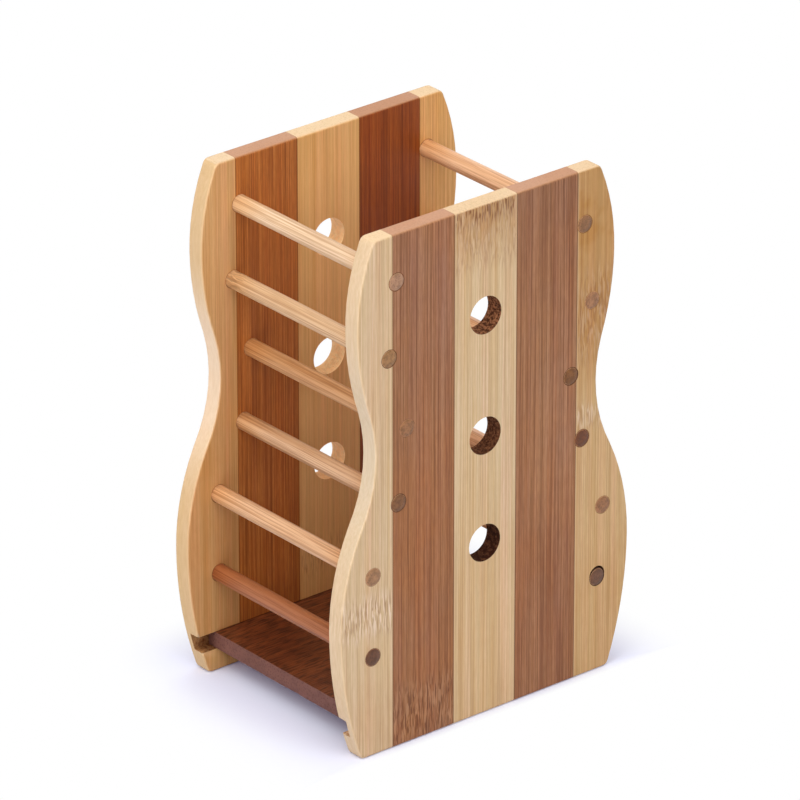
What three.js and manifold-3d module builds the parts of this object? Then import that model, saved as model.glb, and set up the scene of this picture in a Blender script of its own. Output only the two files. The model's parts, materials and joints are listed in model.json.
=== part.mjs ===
// A bamboo utensil holder: two wavy side panels, each glued up from five upright strips,
// held apart by two ladders of round rungs and by a base board let into grooves near the feet.
// Millimetres, +Z up. The origin is on the ground under the middle of the holder.
// The rungs run along X, the front ladder is at -Y and the rear ladder at +Y.

import * as THREE from "three";
import { mergeVertices } from "three/addons/utils/BufferGeometryUtils.js";
import Module from "manifold-3d";

// Overall size
const width = 85; // over the outer faces of the two panels
const panelHeight = 180;
const panelThickness = 6.6;

// The panel's wave, as its depth from front edge to rear edge at five heights
const footDepth = 104;
const lowerBulgeHeight = 46;
const lowerBulgeDepth = 120.5;
const waistHeight = 105;
const waistDepth = 92;
const waistRadius = 50; // of the hollow's own curve
const upperBulgeHeight = 150;
const upperBulgeDepth = 106.5;
const topDepth = 93.5;
const waveStep = 5; // between two points of the wavy outline
const cornerRadius = 1.6; // seen from the side, at the four ends of the wave
const arrisRadius = 0.8; // round the panel's faces
const roundingSteps = 3; // facets across a corner or an arris

// The three inner strips of a panel, the outer two being what is left
const innerStripWidth = 25.5;
const stripShift = 0.9; // how far forward of the panel's middle the strips and holes lie

// Three finger holes down each centre strip
const holeDiameter = 13;
const lowestHoleHeight = 61.3;
const lowerHoleGap = 38;
const upperHoleGap = 42.2;
const holeSides = 48;

// Rungs, glued right through the panels
const rungDiameter = 5.9;
const rungClearance = 0.25; // all round, for the glue
const rungSides = 32;
const slackRise = 0.75; // how far the one slack bore runs up past its rung

// Each ladder has evenly spread rungs, bored by eye. A rung keeps to the middle of the panels' edge
// strips, or to the glue joints beside them where those strips are narrow. Each bore strays from
// that place outwards and upwards. The list runs from the lowest rung to the top one.
const frontLowestRungHeight = 35.3;
const frontTopRungDrop = 16.3; // below the panels' top
const rearLowestRungHeight = 33.7;
const rearTopRungDrop = 18.7;
const ladders = [
  {
    name: "front_rung",
    side: -1,
    lowest: frontLowestRungHeight,
    highest: panelHeight - frontTopRungDrop,
    bores: [
      { keepsTo: "strip", outwards: -2.2, upwards: 0 },
      { keepsTo: "strip", outwards: -1.5, upwards: 2.8 },
      { keepsTo: "joint", outwards: -2.5, upwards: 0 },
      { keepsTo: "joint", outwards: -6, upwards: -0.5 },
      { keepsTo: "joint", outwards: 1.3, upwards: 0 },
      { keepsTo: "joint", outwards: -1.7, upwards: 0 },
    ],
  },
  {
    name: "rear_rung",
    side: 1,
    lowest: rearLowestRungHeight,
    highest: panelHeight - rearTopRungDrop,
    bores: [
      { keepsTo: "strip", outwards: -1.5, upwards: 0 },
      { keepsTo: "strip", outwards: 0.8, upwards: 0 },
      { keepsTo: "joint", outwards: 2.5, upwards: 1.2 },
      { keepsTo: "joint", outwards: -2.4, upwards: -0.9 },
      { keepsTo: "strip", outwards: -0.9, upwards: -2.2 },
      { keepsTo: "joint", outwards: 2.9, upwards: 0 },
    ],
  },
];
const slackRung = "rear_rung_1";

// Base board, slid into a groove in each panel
const footHeight = 8; // from the ground to the groove
const baseThickness = 6;
const baseDepth = 98;
const grooveDepth = 4.1;
const baseClearance = 0.3; // over the board and at its two ends

// Finishes
const lightBamboo = { color: 0xd9b98c, roughness: 0.55, metalness: 0 };
const darkBamboo = { color: 0x9c6b4e, roughness: 0.55, metalness: 0 };
const rungWood = { color: 0xc99c70, roughness: 0.6, metalness: 0 };
const baseWood = { color: 0x5e3020, roughness: 0.4, metalness: 0 };

const overcut = 2; // how far a cutter runs past what it cuts
const weldDistance = 1e-4; // between vertices that are one

const wasm = await Module();
wasm.setup();

// The outline of a panel

const foot = { height: 0, half: footDepth / 2 };
const lowerBulge = { height: lowerBulgeHeight, half: lowerBulgeDepth / 2 };
const waist = { height: waistHeight, half: waistDepth / 2 };
const upperBulge = { height: upperBulgeHeight, half: upperBulgeDepth / 2 };
const top = { height: panelHeight, half: topDepth / 2 };

// How far an arc of this curvature falls away from its tangent at a distance along it
function sag(curvature, distance) {
  return (curvature * distance ** 2) / (1 + Math.sqrt(1 - (curvature * distance) ** 2));
}

// One arc, upright at the bulge, that ends at the panel's foot or top
function endArc(bulge, end, height) {
  const run = end.height - bulge.height;
  const fall = bulge.half - end.half;
  const curvature = (2 * fall) / (run ** 2 + fall ** 2);
  return bulge.half - sag(curvature, height - bulge.height);
}

// Two arcs that meet in a common tangent, upright at the waist and at the bulge
function waistArcs(bulge, height) {
  const run = Math.abs(bulge.height - waist.height);
  const rise = bulge.half - waist.half;
  const spread = (run ** 2 + rise ** 2) / 2;
  const meeting = (run * waistRadius * rise) / spread;
  const distance = Math.abs(height - waist.height);
  if (distance < meeting) {
    return waist.half + sag(1 / waistRadius, distance);
  }
  return bulge.half - sag(rise / (spread - waistRadius * rise), run - distance);
}

function halfDepthAt(height) {
  if (height <= lowerBulge.height) return endArc(lowerBulge, foot, height);
  if (height <= waist.height) return waistArcs(lowerBulge, height);
  if (height <= upperBulge.height) return waistArcs(upperBulge, height);
  return endArc(upperBulge, top, height);
}

// The panel seen from the side: depth along the shape's x, height along its y
function panelOutline() {
  const lowest = cornerRadius;
  const highest = panelHeight - cornerRadius;
  const steps = Math.ceil((highest - lowest) / waveStep);
  const heights = Array.from({ length: steps + 1 }, (_, i) => lowest + ((highest - lowest) * i) / steps);
  const outline = new THREE.Shape();
  outline.moveTo(cornerRadius - foot.half, 0);
  outline.lineTo(foot.half - cornerRadius, 0);
  outline.quadraticCurveTo(foot.half, 0, halfDepthAt(lowest), lowest);
  for (const height of heights.slice(1)) {
    outline.lineTo(halfDepthAt(height), height);
  }
  outline.quadraticCurveTo(top.half, panelHeight, top.half - cornerRadius, panelHeight);
  outline.lineTo(cornerRadius - top.half, panelHeight);
  outline.quadraticCurveTo(-top.half, panelHeight, -halfDepthAt(highest), highest);
  for (const height of heights.slice(0, -1).reverse()) {
    outline.lineTo(-halfDepthAt(height), height);
  }
  outline.quadraticCurveTo(-foot.half, 0, cornerRadius - foot.half, 0);
  return outline;
}

// Solids and their cutters

function toSolid(geometry) {
  const bare = geometry.clone();
  bare.deleteAttribute("normal");
  bare.deleteAttribute("uv");
  const merged = mergeVertices(bare, weldDistance);
  const mesh = new wasm.Mesh({
    numProp: 3,
    vertProperties: new Float32Array(merged.attributes.position.array),
    triVerts: new Uint32Array(merged.index.array),
  });
  return new wasm.Manifold(mesh);
}

function toGeometry(solid) {
  const mesh = solid.getMesh();
  const geometry = new THREE.BufferGeometry();
  geometry.setAttribute("position", new THREE.BufferAttribute(new Float32Array(mesh.vertProperties), 3));
  geometry.setIndex(new THREE.BufferAttribute(new Uint32Array(mesh.triVerts), 1));
  geometry.computeVertexNormals();
  return geometry;
}

function boxSolid(low, high) {
  const size = high.map((value, axis) => value - low[axis]);
  const centre = high.map((value, axis) => (value + low[axis]) / 2);
  return toSolid(new THREE.BoxGeometry(...size).translate(...centre));
}

// A round rod along X, centred on the origin
function rodGeometry(diameter, length, sides) {
  return new THREE.CylinderGeometry(diameter / 2, diameter / 2, length, sides).rotateZ(Math.PI / 2);
}

function rodSolid(diameter, length, sides, depthPlace, height) {
  return toSolid(rodGeometry(diameter, length, sides).translate(0, depthPlace, height));
}

// A whole panel before its holes, with its middle plane at x = 0 and its arrises eased
function panelBlank() {
  const geometry = new THREE.ExtrudeGeometry(panelOutline(), {
    depth: panelThickness - 2 * arrisRadius,
    steps: 1,
    curveSegments: roundingSteps,
    bevelThickness: arrisRadius,
    bevelSize: arrisRadius,
    bevelOffset: -arrisRadius,
    bevelSegments: roundingSteps,
  });
  geometry.translate(0, 0, arrisRadius - panelThickness / 2);
  const sideways = new THREE.Matrix4().makeBasis(
    new THREE.Vector3(0, 1, 0),
    new THREE.Vector3(0, 0, 1),
    new THREE.Vector3(1, 0, 0),
  );
  return toSolid(geometry.applyMatrix4(sideways));
}

// Rungs and holes

// Where a glue joint lies in depth, counted in strips from the middle of the centre strip
function glueJoint(strips) {
  return strips * innerStripWidth - stripShift;
}

function rungPlaces(ladder) {
  const pitch = (ladder.highest - ladder.lowest) / (ladder.bores.length - 1);
  const joint = glueJoint(1.5 * ladder.side);
  return ladder.bores.map((bore, i) => {
    const height = ladder.lowest + i * pitch + bore.upwards;
    const edge = ladder.side * halfDepthAt(height);
    const place = bore.keepsTo === "strip" ? (joint + edge) / 2 : joint;
    return { name: `${ladder.name}_${i + 1}`, depthPlace: place + ladder.side * bore.outwards, height };
  });
}

const rungs = ladders.flatMap(rungPlaces);

function rungBore(rung) {
  const boreDiameter = rungDiameter + 2 * rungClearance;
  const boreLength = panelThickness + 2 * overcut;
  const bore = rodSolid(boreDiameter, boreLength, rungSides, rung.depthPlace, rung.height);
  if (rung.name !== slackRung) return bore;
  return bore.add(rodSolid(boreDiameter, boreLength, rungSides, rung.depthPlace, rung.height + slackRise));
}

function fingerHoles() {
  const middleHoleHeight = lowestHoleHeight + lowerHoleGap;
  const heights = [lowestHoleHeight, middleHoleHeight, middleHoleHeight + upperHoleGap];
  const length = panelThickness + 2 * overcut;
  return heights.map((height) => rodSolid(holeDiameter, length, holeSides, -stripShift, height));
}

// The groove for the base board, cut from the panel's inner face right through both edges
function baseGroove(side) {
  const reach = Math.max(lowerBulge.half, foot.half) + overcut;
  const innerFace = -side * (panelThickness / 2);
  const web = innerFace + side * grooveDepth;
  const past = innerFace - side * overcut;
  return boxSolid(
    [Math.min(web, past), -reach, footHeight],
    [Math.max(web, past), reach, footHeight + baseThickness + baseClearance],
  );
}

// The pieces

function piece(name, geometry, finish) {
  const mesh = new THREE.Mesh(geometry, new THREE.MeshStandardMaterial(finish));
  mesh.name = name;
  return mesh;
}

// A panel's strips, named and placed from its front edge to its rear edge
function stripPlan() {
  const reach = Math.max(lowerBulge.half, upperBulge.half, foot.half, top.half) + overcut;
  const joints = [-1.5, -0.5, 0.5, 1.5].map(glueJoint);
  return [
    { name: "front_edge_strip", from: -reach, to: joints[0], finish: lightBamboo },
    { name: "front_dark_strip", from: joints[0], to: joints[1], finish: darkBamboo },
    { name: "centre_strip", from: joints[1], to: joints[2], finish: lightBamboo },
    { name: "rear_dark_strip", from: joints[2], to: joints[3], finish: darkBamboo },
    { name: "rear_edge_strip", from: joints[3], to: reach, finish: lightBamboo },
  ];
}

function sidePanel(name, side) {
  const cutters = [...rungs.map(rungBore), ...fingerHoles(), baseGroove(side)];
  const bored = cutters.reduce((solid, cutter) => solid.subtract(cutter), panelBlank());
  const group = new THREE.Group();
  for (const strip of stripPlan()) {
    const slab = boxSolid(
      [-panelThickness, strip.from, -overcut],
      [panelThickness, strip.to, panelHeight + overcut],
    );
    group.add(piece(`${name}_${strip.name}`, toGeometry(bored.intersect(slab)), strip.finish));
  }
  group.position.x = (side * (width - panelThickness)) / 2;
  return group;
}

function rungLadders() {
  const group = new THREE.Group();
  for (const rung of rungs) {
    const mesh = piece(rung.name, rodGeometry(rungDiameter, width, rungSides), rungWood);
    mesh.position.set(0, rung.depthPlace, rung.height);
    group.add(mesh);
  }
  return group;
}

function baseBoard() {
  const baseWidth = width - 2 * (panelThickness - grooveDepth + baseClearance);
  const board = piece("base_board", new THREE.BoxGeometry(baseWidth, baseDepth, baseThickness), baseWood);
  board.position.z = footHeight + baseThickness / 2;
  return board;
}

const holder = new THREE.Group();
holder.add(sidePanel("right", 1));
holder.add(sidePanel("left", -1));
holder.add(rungLadders());
holder.add(baseBoard());

export default holder;
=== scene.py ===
"""A bamboo utensil holder, with its worked surfaces, on a white studio table.

Two wavy side panels, each glued up from five upright strips of pale and dark bamboo, are held
apart by two ladders of round rungs and by a dark base board that is let into grooves.
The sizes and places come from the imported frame. This script eases the finger holes' rims, turns
the rungs, planes the base board, runs glue round the rungs' ends and gives every surface its
grain. Meshes are in metres, and what the shaders measure is in millimetres.
"""

import json
import logging
import math
from dataclasses import dataclass, field
from enum import Enum

import bmesh
import bpy
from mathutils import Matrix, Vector, noise

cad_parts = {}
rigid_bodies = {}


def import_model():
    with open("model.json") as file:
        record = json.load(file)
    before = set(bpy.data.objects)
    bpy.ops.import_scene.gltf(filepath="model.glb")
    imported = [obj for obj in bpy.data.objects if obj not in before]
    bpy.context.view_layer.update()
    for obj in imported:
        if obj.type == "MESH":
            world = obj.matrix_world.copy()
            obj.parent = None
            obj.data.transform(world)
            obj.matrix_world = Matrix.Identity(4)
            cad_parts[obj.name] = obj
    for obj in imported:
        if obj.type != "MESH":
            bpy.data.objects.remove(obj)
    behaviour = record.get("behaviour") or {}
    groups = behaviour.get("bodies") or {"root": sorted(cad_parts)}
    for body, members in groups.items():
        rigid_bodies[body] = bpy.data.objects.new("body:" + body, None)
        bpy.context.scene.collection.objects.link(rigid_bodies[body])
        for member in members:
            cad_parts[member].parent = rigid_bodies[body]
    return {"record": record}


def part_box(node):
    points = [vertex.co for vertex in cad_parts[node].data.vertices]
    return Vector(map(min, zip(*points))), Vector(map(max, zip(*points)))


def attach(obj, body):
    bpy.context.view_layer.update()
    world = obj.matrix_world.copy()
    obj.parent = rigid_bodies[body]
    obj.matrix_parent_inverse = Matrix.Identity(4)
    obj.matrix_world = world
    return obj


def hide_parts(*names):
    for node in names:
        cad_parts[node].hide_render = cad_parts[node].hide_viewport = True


LOG = logging.getLogger("utensil_holder")

MM = 0.001
BODY = "root"
RIGHT, LEFT = 1, -1
SIDE_NAMES = {RIGHT: "right", LEFT: "left"}
X, Y, Z = 0, 1, 2

Colour = tuple[float, float, float]
Edge = bmesh.types.BMEdge
Material = bpy.types.Material
Node = bpy.types.Node
Output = bpy.types.NodeSocket
Outputs = bpy.types.bpy_prop_collection
Piece = bpy.types.Object
Shape = bmesh.types.BMesh
Source = Output | float | tuple
Inputs = dict[str | int, Source]
Tree = bpy.types.NodeTree

WHITE = (1.0, 1.0, 1.0)
ORIGIN = (0.0, 0.0, 0.0)


def srgb(red: int, green: int, blue: int) -> Colour:
    """Turn a colour as a screen shows it, in parts from 0 to 255, into the light that shaders use."""
    shares = (value / 255 for value in (red, green, blue))
    return tuple(s / 12.92 if s <= 0.04045 else ((s + 0.055) / 1.055) ** 2.4 for s in shares)


def tinted(colour: Colour, tint: Colour) -> Colour:
    """Multiply a colour by a tint, channel by channel."""
    return tuple(c * t for c, t in zip(colour, tint))


class Grain(Enum):
    """The order in which X, Y and Z are read, so that the last one runs along the fibres."""

    UPRIGHT = (X, Y, Z)
    ALONG_RUNG = (Y, Z, X)
    FRONT_TO_BACK = (X, Z, Y)


class Bench:
    """Lays out shader nodes in one tree and wires them up."""

    MIX_A, MIX_B, MIX_RESULT = 6, 7, 2

    def __init__(self, tree: Tree) -> None:
        """Start on a tree, which may hold nodes already."""
        self.tree = tree

    def node(self, kind: str, inputs: Inputs | None = None, **settings: object) -> Node:
        """Add one node.

        Args:
            kind: The kind of node, spelled as in the node library.
            inputs: What its inputs are fed with, by name or by number.
            **settings: Properties of the node, by name.

        Returns:
            The new node.
        """
        made = self.tree.nodes.new(kind)
        for name, value in settings.items():
            setattr(made, name, value)
        self.fill(made, inputs or {})
        return made

    def fill(self, node: Node, inputs: Inputs) -> None:
        """Feed a node's inputs, by name or by number."""
        for name, source in inputs.items():
            self.feed(node.inputs[name], source)

    def feed(self, socket: Output, source: Source) -> None:
        """Wire a socket to another one, or set it to a plain value."""
        if isinstance(source, Output):
            self.tree.links.new(source, socket)
        elif socket.type == "RGBA" and len(source) == 3:
            socket.default_value = (*source, 1)
        else:
            socket.default_value = source

    def maths(self, operation: str, *values: Source) -> Output:
        """Work on numbers, and return the result's socket."""
        return self.node("ShaderNodeMath", dict(enumerate(values)), operation=operation).outputs[0]

    def vectors(self, operation: str, *values: Source) -> Output:
        """Work on vectors, and return the resulting vector's socket."""
        made = self.node("ShaderNodeVectorMath", dict(enumerate(values)), operation=operation)
        return made.outputs["Vector"]

    def split(self, vector: Source) -> tuple[Output, ...]:
        """Return the sockets of a vector's three parts."""
        return tuple(self.node("ShaderNodeSeparateXYZ", {0: vector}).outputs)

    def join(self, *parts: Source) -> Output:
        """Return the socket of a vector made from three numbers."""
        return self.node("ShaderNodeCombineXYZ", dict(enumerate(parts))).outputs[0]

    def fade(
        self, value: Source, start: Source, end: Source, low: Source = 0.0, high: Source = 1.0,
    ) -> Output:
        """Turn smoothly from low to high as a value goes from start to end.

        Args:
            value: What decides.
            start: Where low ends.
            end: Where high begins. It may lie below start.
            low: The result before start.
            high: The result after end.

        Returns:
            The result's socket.
        """
        inputs = {"Value": value, "From Min": start, "From Max": end, "To Min": low, "To Max": high}
        return self.node("ShaderNodeMapRange", inputs, interpolation_type="SMOOTHSTEP").outputs["Result"]

    def noise(self, vector: Source, detail: float, roughness: float = 0.5) -> Node:
        """Add cloudy noise of one unit across, and return its node."""
        inputs = {"Vector": vector, "Scale": 1.0, "Detail": detail, "Roughness": roughness}
        return self.node("ShaderNodeTexNoise", inputs)

    def mix(self, share: Source, below: Source, top: Source, blend: str = "MIX") -> Output:
        """Blend two colours.

        Args:
            share: How much of the top one shows.
            below: The colour below.
            top: The colour on top.
            blend: The way of blending, spelled as the mix node has it.

        Returns:
            The blended colour's socket.
        """
        inputs = {"Factor": share, self.MIX_A: below, self.MIX_B: top}
        made = self.node("ShaderNodeMix", inputs, data_type="RGBA", blend_type=blend)
        return made.outputs[self.MIX_RESULT]

    def over(self, below: Source, top: Source, mask: Source, share: float) -> Output:
        """Lay a colour over another where a mask is, no more strongly than a share, and return the result."""
        return self.mix(self.maths("MULTIPLY", mask, share), below, top)

    def apply(self, effect: Tree, **inputs: Source) -> Outputs:
        """Add a node group with its inputs by name, and return its outputs, which are found by name."""
        return self.node("ShaderNodeGroup", inputs, node_tree=effect).outputs


class Effects:
    """The surface effects that several materials share, each a node group that is built once."""

    NUMBER, VECTOR = "NodeSocketFloat", "NodeSocketVector"
    SEED_STEP = (13.7, 7.3, 3.1)
    FIBRE_REACH = 0.22
    RAGGED = (0.7, 0.7, 0.05)
    SWIRLS = (0.3, 0.3, 0.12)
    TICKS = {"Dark": (1.7, 1.7, 0.17), "Pale": (1.9, 1.9, 0.14)}
    UPWARD = (0.72, 0.9)
    EDGEWISE = (0.85, 0.5)
    ROUNDED = (0.97, 0.8)

    def __init__(self) -> None:
        """Build every group."""
        self.fibres = self._fibres()
        self.node_band = self._node_band()
        self.bundle_ends = self._bundle_ends()
        self.joint_line = self._joint_line()
        self.faces = self._faces()
        self.smudges = self._smudges()

    def _start(self, name: str, *gives: str, bent: str | None = None, **takes: Source) -> tuple:
        """Make an empty group with its sockets.

        Args:
            name: The group's name.
            *gives: The names of the outputs that are numbers.
            bent: The name of the output that is a place, if there is one.
            **takes: Each input with its usual value, three numbers for a vector.

        Returns:
            The group, a bench for it, its inputs and its outputs.
        """
        tree = bpy.data.node_groups.new(name, "ShaderNodeTree")
        for label, usual in takes.items():
            kind = self.VECTOR if isinstance(usual, tuple) else self.NUMBER
            tree.interface.new_socket(label, in_out="INPUT", socket_type=kind).default_value = usual
        for label in gives:
            tree.interface.new_socket(label, in_out="OUTPUT", socket_type=self.NUMBER)
        if bent:
            tree.interface.new_socket(bent, in_out="OUTPUT", socket_type=self.VECTOR)
        bench = Bench(tree)
        return tree, bench, bench.node("NodeGroupInput").outputs, bench.node("NodeGroupOutput").inputs

    def _shifted(self, bench: Bench, place: Source, seed: Source) -> Output:
        """Move a place by a seed, so that two pieces of one material differ."""
        step = bench.vectors("MULTIPLY", bench.join(seed, seed, seed), self.SEED_STEP)
        return bench.vectors("ADD", place, step)

    def _fibres(self) -> Tree:
        """Long fine lines along the grain, which are dots on a cut across it."""
        tree, bench, taken, given = self._start(
            "fibres", "Lines", Place=ORIGIN, Seed=0.0, Fineness=1.0, Run=60.0, Contrast=1.0,
        )
        along = bench.maths("DIVIDE", 1.0, taken["Run"])
        stretch = bench.join(taken["Fineness"], taken["Fineness"], along)
        where = bench.vectors("MULTIPLY", taken["Place"], stretch)
        where = self._shifted(bench, where, taken["Seed"])
        lines = bench.noise(where, detail=3.0, roughness=0.6).outputs["Fac"]
        reach = bench.maths("DIVIDE", self.FIBRE_REACH, taken["Contrast"])
        low, high = bench.maths("SUBTRACT", 0.5, reach), bench.maths("ADD", 0.5, reach)
        bench.feed(given["Lines"], bench.fade(lines, low, high))
        return tree

    def _node_band(self) -> Tree:
        """A node of the bamboo: a ragged band across the grain in which the fibres break up and bend."""
        tree, bench, taken, given = self._start(
            "node_band", "Mask", *self.TICKS, bent="Bent Place",
            Place=ORIGIN, Seed=0.0, Height=0.0, Reach=8.0, Swirl=1.0,
        )
        seeded = self._shifted(bench, taken["Place"], taken["Seed"])
        ragged = bench.noise(bench.vectors("MULTIPLY", seeded, self.RAGGED), detail=3.0).outputs["Fac"]
        wander = bench.maths("MULTIPLY", bench.maths("SUBTRACT", ragged, 0.5), taken["Reach"])
        height = bench.maths("ADD", bench.split(taken["Place"])[Z], wander)
        off = bench.maths("ABSOLUTE", bench.maths("SUBTRACT", height, taken["Height"]))
        mask = bench.fade(bench.maths("DIVIDE", off, taken["Reach"]), 1.15, 0.25)
        swirl = bench.noise(bench.vectors("MULTIPLY", seeded, self.SWIRLS), detail=1.0)
        turn = bench.vectors("SUBTRACT", swirl.outputs["Color"], (0.5, 0.5, 0.5))
        strength = bench.maths("MULTIPLY", mask, bench.maths("MULTIPLY", taken["Swirl"], 3.0))
        turn = bench.vectors("MULTIPLY", turn, bench.join(strength, strength, strength))
        bent = bench.vectors("ADD", taken["Place"], turn)
        placed = self._shifted(bench, bent, taken["Seed"])
        for name, stretch in self.TICKS.items():
            ticks = bench.noise(bench.vectors("MULTIPLY", placed, stretch), detail=1.0).outputs["Fac"]
            bench.feed(given[name], bench.maths("MULTIPLY", mask, bench.fade(ticks, 0.5, 0.6)))
        bench.feed(given["Mask"], mask)
        bench.feed(given["Bent Place"], bent)
        return tree

    def _bundle_ends(self) -> Tree:
        """The dots that the cut ends of fibre bundles make on end grain."""
        tree, bench, taken, given = self._start("bundle_ends", "Dots", Place=ORIGIN, Seed=0.0, Size=0.7)
        fine = bench.maths("DIVIDE", 1.0, taken["Size"])
        where = bench.vectors("MULTIPLY", taken["Place"], bench.join(fine, fine, 0.02))
        where = self._shifted(bench, where, taken["Seed"])
        cells = bench.node("ShaderNodeTexVoronoi", {"Vector": where, "Scale": 1.0}, feature="F1")
        bench.feed(given["Dots"], bench.fade(cells.outputs["Distance"], 0.5, 0.15))
        return tree

    def _joint_line(self) -> Tree:
        """The thin dark line of a glue joint, along the sides of a strip."""
        tree, bench, taken, given = self._start(
            "joint_line", "Mask", Place=ORIGIN, Middle=0.0, Half=10.0, Width=0.3,
        )
        depth = bench.split(taken["Place"])[Y]
        off = bench.maths("ABSOLUTE", bench.maths("SUBTRACT", depth, taken["Middle"]))
        inner = bench.maths("SUBTRACT", taken["Half"], taken["Width"])
        bench.feed(given["Mask"], bench.fade(off, inner, taken["Half"]))
        return tree

    def _faces(self) -> Tree:
        """Tells a panel's wide faces, wavy edges, cut ends and eased arrises apart."""
        tree, bench, _, given = self._start("faces", "Profile", "End", "Arris")
        x, _, z = bench.split(bench.node("ShaderNodeNewGeometry").outputs["Normal"])
        across = bench.maths("ABSOLUTE", x)
        end = bench.fade(bench.maths("ABSOLUTE", z), *self.UPWARD)
        profile = bench.maths("SUBTRACT", bench.fade(across, *self.EDGEWISE), end)
        rest = bench.maths("SQRT", bench.maths("SUBTRACT", 1.0, bench.maths("MULTIPLY", x, x)))
        bench.feed(given["Profile"], bench.maths("MAXIMUM", profile, 0.0))
        bench.feed(given["End"], end)
        bench.feed(given["Arris"], bench.fade(bench.maths("MAXIMUM", across, rest), *self.ROUNDED))
        return tree

    def _smudges(self) -> Tree:
        """Wide soft patches, where hands have polished the wood or the oil lies thicker."""
        tree, bench, taken, given = self._start("smudges", "Patches", Place=ORIGIN, Seed=0.0, Size=20.0)
        fine = bench.maths("DIVIDE", 1.0, taken["Size"])
        where = bench.vectors("MULTIPLY", taken["Place"], bench.join(fine, fine, fine))
        cloud = bench.noise(self._shifted(bench, where, taken["Seed"]), detail=3.0, roughness=0.6)
        bench.feed(given["Patches"], bench.fade(cloud.outputs["Fac"], 0.35, 0.65))
        return tree


@dataclass(frozen=True)
class Lines:
    """One set of fibres: its seed, its lines to a millimetre, how far each runs, and how crisp it is."""

    seed: float
    fineness: float
    run_mm: float
    contrast: float = 1.0


@dataclass(frozen=True)
class NodeBand:
    """One node across a strip or a rung."""

    at_mm: float
    reach_mm: float
    swirl_mm: float
    strength: float
    paleness: float = 0.0


@dataclass(frozen=True)
class TintPatch:
    """A broad patch of another tint, with a cloudy border, at one height of a strip: mostly staining in the
    wood, and in one place painted sheen.
    """

    at_mm: float
    reach_mm: float
    tint: Colour


@dataclass(frozen=True)
class StripLook:
    """What one strip has of its own.

    Its place in the panel, where its grain starts, its tint, its nodes, its staining and painted sheen,
    the tints of its wavy edge at the waist and at the bulges, and how strongly its fibres show.
    """

    node: str
    seed: float
    tint: Colour = WHITE
    bands: tuple[NodeBand, ...] = ()
    tint_patches: tuple[TintPatch, ...] = ()
    waist_tint: Colour = WHITE
    bulge_tint: Colour = WHITE
    contrast: float = 1.0


@dataclass(frozen=True)
class RungLook:
    """What one rung has of its own: where its grain starts, its colours and its nodes."""

    node: str
    seed: float
    body: Colour
    end: Colour
    glue: Colour
    bands: tuple[NodeBand, ...] = ()
    inner_glue: Colour = srgb(176, 122, 76)


@dataclass(frozen=True)
class Finish:
    """What all the finishes share."""

    name: str
    grain: Grain
    roughness: float
    shine: float


class Surface(Bench):
    """A material in the making: its shader, the shared effects, and where each point of it lies."""

    def __init__(self, finish: Finish, effects: Effects, seed: float, *more_name: str) -> None:
        """Start a material with a Principled shader over wood that is measured in millimetres.

        Args:
            finish: Its grain, roughness and shine.
            effects: The shared node groups.
            seed: What sets this piece's grain apart.
            *more_name: What follows the finish's name in the material's.
        """
        self.material = bpy.data.materials.new("_".join((finish.name, *more_name)))
        self.material.use_nodes = True
        super().__init__(self.material.node_tree)
        self.shader = self.material.node_tree.nodes["Principled BSDF"]
        self.fill(self.shader, {"Roughness": finish.roughness, "Specular IOR Level": finish.shine})
        self.effects = effects
        self.seed = seed
        own = self.node("ShaderNodeTexCoord").outputs["Object"]
        self.spot = self.vectors("MULTIPLY", own, (1 / MM, 1 / MM, 1 / MM))
        parts = self.split(self.spot)
        self.along = self.join(*[parts[axis] for axis in finish.grain.value])

    def off(self, axis: int, middle_mm: float = 0.0) -> Output:
        """Return how far a point is from a middle along one axis."""
        away = self.maths("SUBTRACT", self.split(self.spot)[axis], middle_mm)
        return self.maths("ABSOLUTE", away)

    def fibres(self, lines: Lines) -> Output:
        """Return how bright one set of fibres is, from 0 to 1."""
        return self.apply(
            self.effects.fibres, Place=self.along, Seed=self.seed + lines.seed,
            Fineness=lines.fineness, Run=lines.run_mm, Contrast=lines.contrast,
        )["Lines"]

    def patches(self, size_mm: float, seed: float = 0.0, with_grain: bool = False) -> Output:
        """Return soft patches from 0 to 1, which follow the bent grain if that is asked for."""
        where = self.along if with_grain else self.spot
        seed += self.seed
        return self.apply(self.effects.smudges, Place=where, Seed=seed, Size=size_mm)["Patches"]

    def dots(self, size_mm: float, seed: float = 0.0) -> Output:
        """Return the dots of cut fibre bundles, from 0 to 1."""
        seed += self.seed
        return self.apply(self.effects.bundle_ends, Place=self.along, Seed=seed, Size=size_mm)["Dots"]

    def bend(self, band: NodeBand, seed: float = 0.0) -> Outputs:
        """Bend the grain at a node of the bamboo, and return the node's masks by name."""
        marks = self.apply(
            self.effects.node_band, Place=self.along, Seed=self.seed + seed, Height=band.at_mm,
            Reach=band.reach_mm, Swirl=band.swirl_mm,
        )
        self.along = marks["Bent Place"]
        return marks

    def roughen(self, roughness: Source) -> None:
        """Vary the roughness."""
        self.feed(self.shader.inputs["Roughness"], roughness)

    def emboss(self, height: Source, depth_mm: float, strength: float) -> None:
        """Give the surface a fine relief.

        Args:
            height: How high each point is, from 0 to 1.
            depth_mm: How far 1 stands over 0.
            strength: How much of that shows.
        """
        inputs = {"Strength": strength, "Distance": depth_mm * MM, "Height": height}
        bump = self.node("ShaderNodeBump", inputs)
        self.feed(self.shader.inputs["Normal"], bump.outputs["Normal"])

    def paint(self, colour: Source) -> Material:
        """Colour the surface, and return the finished material."""
        self.feed(self.shader.inputs["Base Color"], colour)
        return self.material


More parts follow.
